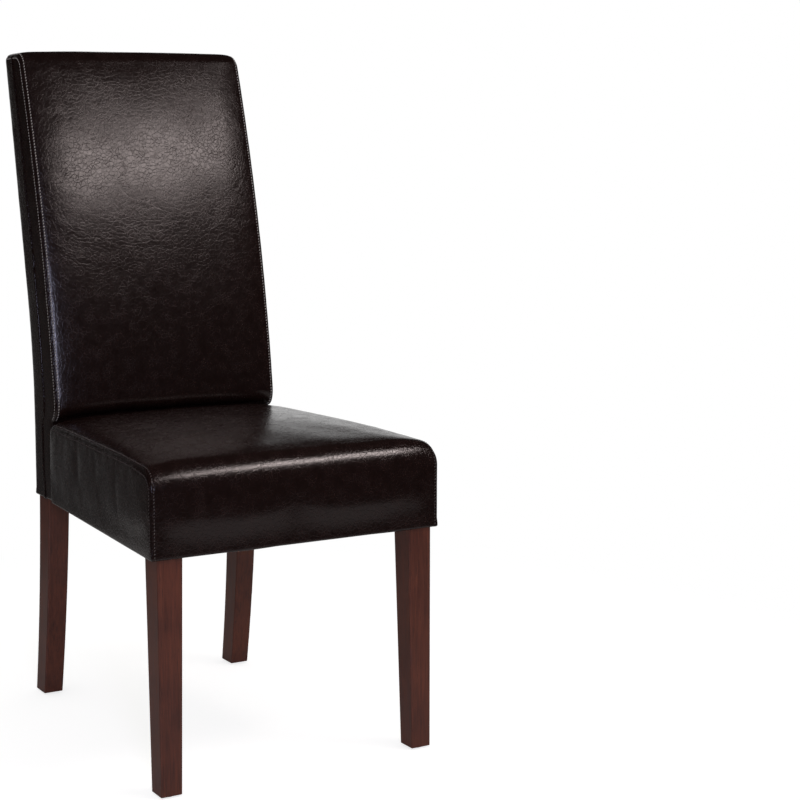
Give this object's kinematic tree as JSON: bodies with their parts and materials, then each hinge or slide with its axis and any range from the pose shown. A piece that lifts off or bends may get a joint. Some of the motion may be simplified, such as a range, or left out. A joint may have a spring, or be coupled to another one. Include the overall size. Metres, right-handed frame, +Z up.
{
  "type": "parsons chair",
  "caption": "High-backed dining chair with a leather-covered padded seat and back, tapered front legs and splayed rear legs of dark stained wood.",
  "frame": {"origin": "on the floor under the middle of the chair's overall box", "axes": "+X to the right in a front view, +Y towards the back, +Z up"},
  "size_m": [0.445, 0.6292, 1.024],
  "materials": {
    "brown_leather": "glossy",
    "stained_wood": "satin",
    "bare_wood": "sawn",
    "foam": "matte",
    "webbing": "matte",
    "black_cloth": "matte",
    "zinc_plated_steel": "satin",
    "dark_plastic": "matte"
  },
  "bodies": {
    "root": {"back_bolt_rail": "bare_wood", "back_cover_front": "brown_leather", "back_cover_rear": "brown_leather", "back_cover_side_left": "brown_leather", "back_cover_side_right": "brown_leather", "back_dust_cover": "black_cloth", "back_foam": "foam", "back_lower_rail": "bare_wood", "back_middle_rail": "bare_wood", "back_rail_dowels": "bare_wood", "back_rear_padding": "foam", "back_side_padding_left": "foam", "back_side_padding_right": "foam", "back_top_rail": "bare_wood", "back_webbing": "webbing", "bolt_rail_screws": "zinc_plated_steel", "corner_block_screws": "zinc_plated_steel", "dust_cover": "black_cloth", "dust_cover_staples": "zinc_plated_steel", "floor_glides": "dark_plastic", "front_corner_block_left": "bare_wood", "front_corner_block_right": "bare_wood", "front_leg_left": "stained_wood", "front_leg_right": "stained_wood", "glide_nails": "zinc_plated_steel", "leg_bolt_washers": "zinc_plated_steel", "leg_bolts": "zinc_plated_steel", "rear_corner_block_left": "bare_wood", "rear_corner_block_right": "bare_wood", "rear_leg_left": "stained_wood", "rear_leg_right": "stained_wood", "seat_bolt_washers": "zinc_plated_steel", "seat_bolts": "zinc_plated_steel", "seat_cover_side_left": "brown_leather", "seat_cover_side_right": "brown_leather", "seat_cover_top": "brown_leather", "seat_foam": "foam", "seat_frame_dowels": "bare_wood", "seat_front_padding": "foam", "seat_front_rail": "bare_wood", "seat_rear_rail": "bare_wood", "seat_side_padding_left": "foam", "seat_side_padding_right": "foam", "seat_side_rail_left": "bare_wood", "seat_side_rail_right": "bare_wood", "seat_webbing_crosswise": "webbing", "seat_webbing_lengthwise": "webbing", "tee_nuts": "zinc_plated_steel"}
  },
  "joints": []
}
